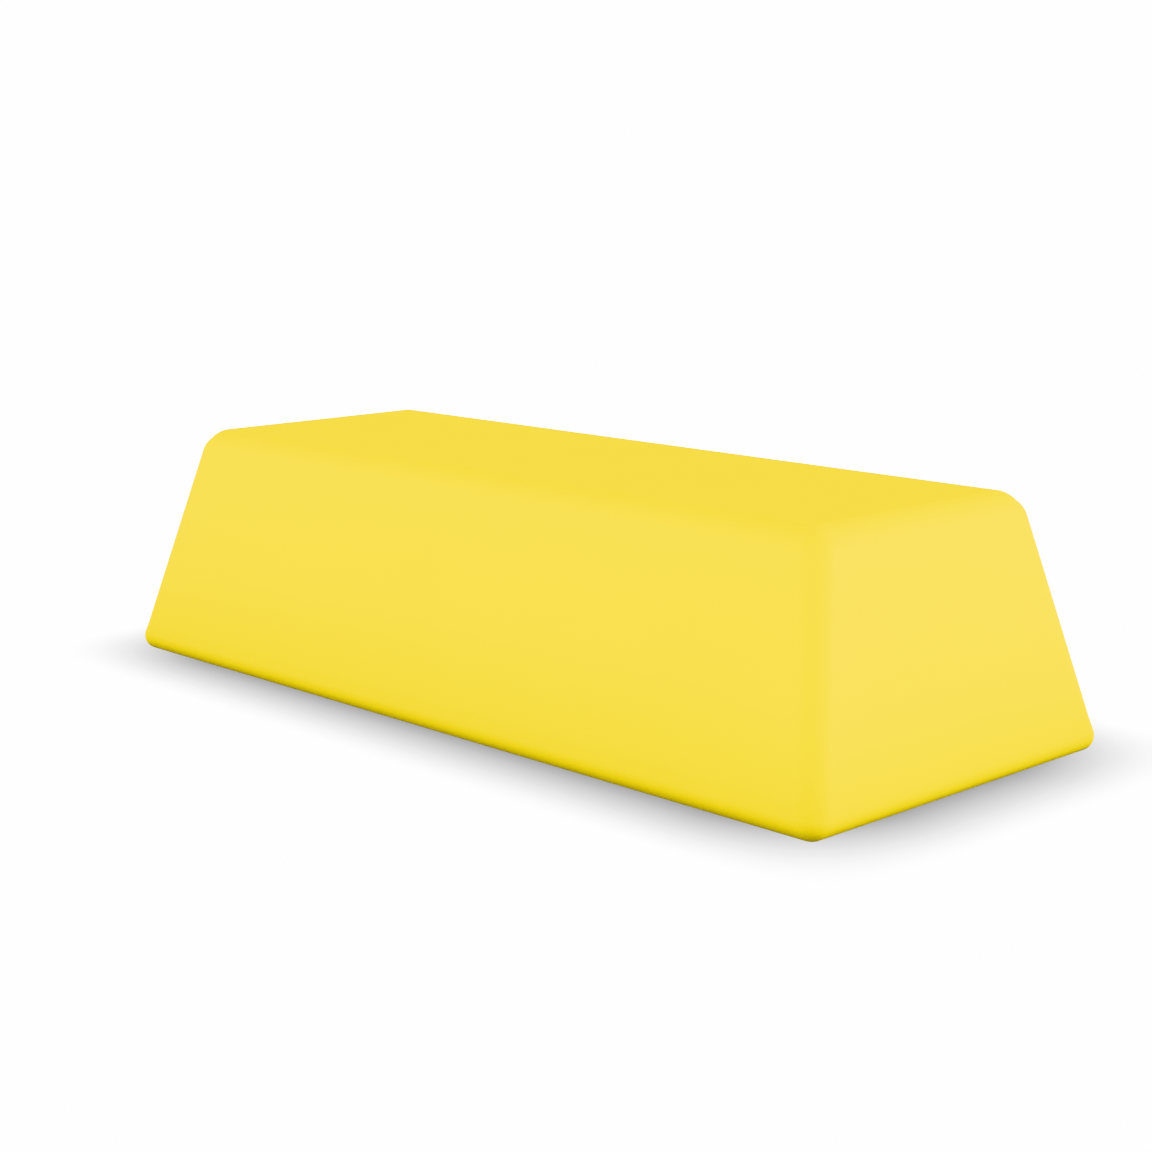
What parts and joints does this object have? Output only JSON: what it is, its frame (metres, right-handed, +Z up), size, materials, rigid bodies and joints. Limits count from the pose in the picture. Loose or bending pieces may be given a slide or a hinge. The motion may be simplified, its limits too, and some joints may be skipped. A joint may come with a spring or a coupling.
{
  "type": "parking wheel stop",
  "caption": "Low concrete block with leaning sides, rounded edges and a yellow coating, which stops a car's wheel and stands over ground dowels in sleeves in its underside.",
  "frame": {"origin": "centre of the underside, on the surface that the block stands on", "axes": "+X along the block's length, +Z up, -Y towards the wheel side; the block is the same front to back and end to end"},
  "size_m": [0.6, 0.255, 0.15],
  "materials": {
    "concrete": "trowelled grey precast concrete",
    "yellow_coating": "matt yellow traffic coating",
    "bar_steel": "mill scale with light rust",
    "link_steel": "mill scale with light rust",
    "sleeve_plastic": "moulded black polyethylene",
    "cap_plastic": "moulded orange polyethylene",
    "spacer_plastic": "moulded grey polypropylene",
    "tie_wire": "black annealed wire"
  },
  "bodies": {
    "root": {"concrete_body": "concrete", "paint_coat": "yellow_coating", "bottom_bar_front": "bar_steel", "bottom_bar_back": "bar_steel", "top_bar_front": "bar_steel", "top_bar_back": "bar_steel", "link_1": "link_steel", "link_2": "link_steel", "link_3": "link_steel", "link_4": "link_steel", "link_5": "link_steel", "hairpin_left": "bar_steel", "hairpin_right": "bar_steel", "sleeve_left": "sleeve_plastic", "sleeve_right": "sleeve_plastic", "sleeve_cap_left": "cap_plastic", "sleeve_cap_right": "cap_plastic", "side_spacers": "spacer_plastic", "top_spacers": "spacer_plastic", "tie_wires": "tie_wire"}
  },
  "joints": []
}
